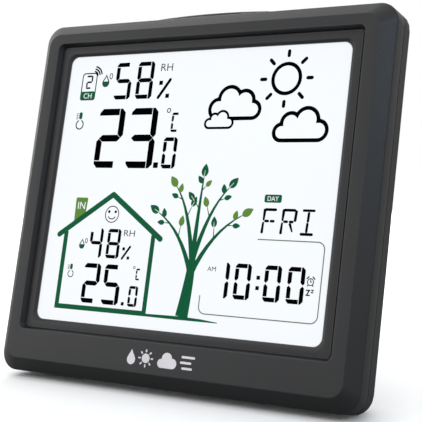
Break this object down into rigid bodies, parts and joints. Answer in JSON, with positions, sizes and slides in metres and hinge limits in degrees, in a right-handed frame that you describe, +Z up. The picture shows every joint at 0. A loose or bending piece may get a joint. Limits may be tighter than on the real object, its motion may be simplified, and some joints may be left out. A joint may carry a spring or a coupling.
{
  "type": "home weather station",
  "caption": "Leaning desk weather station: wide framed display in a bevelled case, fold-out rear stand, battery door, top snooze button and rear keys.",
  "frame": {"origin": "on the table, under the middle of the object's outline", "axes": "+X to the viewer's right, +Y back from the viewer, +Z up; the case leans back 13 degrees"},
  "size_m": [0.14, 0.0515, 0.1276],
  "materials": {
    "case_plastic": "charcoal ABS, fine moulded texture",
    "key_plastic": "charcoal ABS, satin",
    "inner_plastic": "natural white ABS",
    "display_glass": "display glass over a white reflector",
    "clear_acrylic": "clear acrylic light guide",
    "white_film": "matt white film",
    "board_laminate": "green solder mask on glass-epoxy",
    "chip_resin": "black moulding resin",
    "rubber": "black rubber",
    "steel": "nickel-plated steel",
    "brass": "enamelled copper wire",
    "cell_jacket": "printed film jacket of a dry cell",
    "silicone": "silicone with carbon layers",
    "red_pvc": "red wire insulation",
    "black_pvc": "black wire insulation"
  },
  "bodies": {
    "case": {"front_bezel": "case_plastic", "rear_cover": "case_plastic", "lcd_front_glass": "display_glass", "lcd_rear_glass": "display_glass", "print_film": "white_film", "light_guide": "clear_acrylic", "reflector_sheet": "white_film", "backlight_led_bar": "board_laminate", "lcd_holder": "inner_plastic", "zebra_strip": "silicone", "main_board": "board_laminate", "receiver_board": "board_laminate", "key_board": "board_laminate", "sensor_board": "board_laminate", "snooze_board": "board_laminate", "controller_chip": "chip_resin", "clock_crystal": "steel", "climate_sensor": "white_film", "buzzer": "chip_resin", "receiver_coil": "brass", "snooze_switch": "chip_resin", "contact_plus": "steel", "contact_minus": "steel", "contact_bridge_left": "steel", "contact_bridge_right": "steel", "battery_lead_plus": "red_pvc", "battery_lead_minus": "black_pvc", "foot_left": "rubber", "foot_right": "rubber", "key_switch_1": "chip_resin", "key_switch_2": "chip_resin", "key_switch_3": "chip_resin", "key_switch_4": "chip_resin", "key_switch_5": "chip_resin", "battery_1": "cell_jacket", "battery_2": "cell_jacket", "battery_3": "cell_jacket", "battery_spring_1": "steel", "battery_spring_2": "steel", "battery_spring_3": "steel", "case_screw_1": "steel", "case_screw_2": "steel", "case_screw_3": "steel", "case_screw_4": "steel", "holder_screw_1": "steel", "holder_screw_2": "steel", "holder_screw_3": "steel", "holder_screw_4": "steel", "board_screw_1": "steel", "board_screw_2": "steel"},
    "battery_door": {"battery_door": "case_plastic"},
    "stand": {"stand": "case_plastic", "stand_pad": "rubber"},
    "snooze_button": {"snooze_button": "key_plastic"},
    "set_key": {"set_key": "key_plastic"},
    "channel_key": {"channel_key": "key_plastic"},
    "memory_key": {"memory_key": "key_plastic"},
    "up_key": {"up_key": "key_plastic"},
    "down_key": {"down_key": "key_plastic"}
  },
  "joints": [
    {"name": "stand_fold", "type": "hinge", "parent": "case", "child": "stand", "pos_m": [0, 0.00914, 0.05357], "axis": [1, 0, 0], "range_deg": [-30, 0]},
    {"name": "battery_door_open", "type": "hinge", "parent": "case", "child": "battery_door", "pos_m": [0, 0.01252, 0.0611], "axis": [-1, 0, 0], "range_deg": [0, 90]},
    {"name": "snooze_press", "type": "slide", "parent": "case", "child": "snooze_button", "axis": [0, -0.225, -0.9744], "range_m": [0, 0.0008], "stiffness_N_per_m": 500},
    {"name": "set_press", "type": "slide", "parent": "case", "child": "set_key", "axis": [0, -0.9744, 0.225], "range_m": [0, 0.0006], "stiffness_N_per_m": 500},
    {"name": "channel_press", "type": "slide", "parent": "case", "child": "channel_key", "axis": [0, -0.9744, 0.225], "range_m": [0, 0.0006], "stiffness_N_per_m": 500},
    {"name": "memory_press", "type": "slide", "parent": "case", "child": "memory_key", "axis": [0, -0.9744, 0.225], "range_m": [0, 0.0006], "stiffness_N_per_m": 500},
    {"name": "up_press", "type": "slide", "parent": "case", "child": "up_key", "axis": [0, -0.9744, 0.225], "range_m": [0, 0.0006], "stiffness_N_per_m": 500},
    {"name": "down_press", "type": "slide", "parent": "case", "child": "down_key", "axis": [0, -0.9744, 0.225], "range_m": [0, 0.0006], "stiffness_N_per_m": 500}
  ]
}
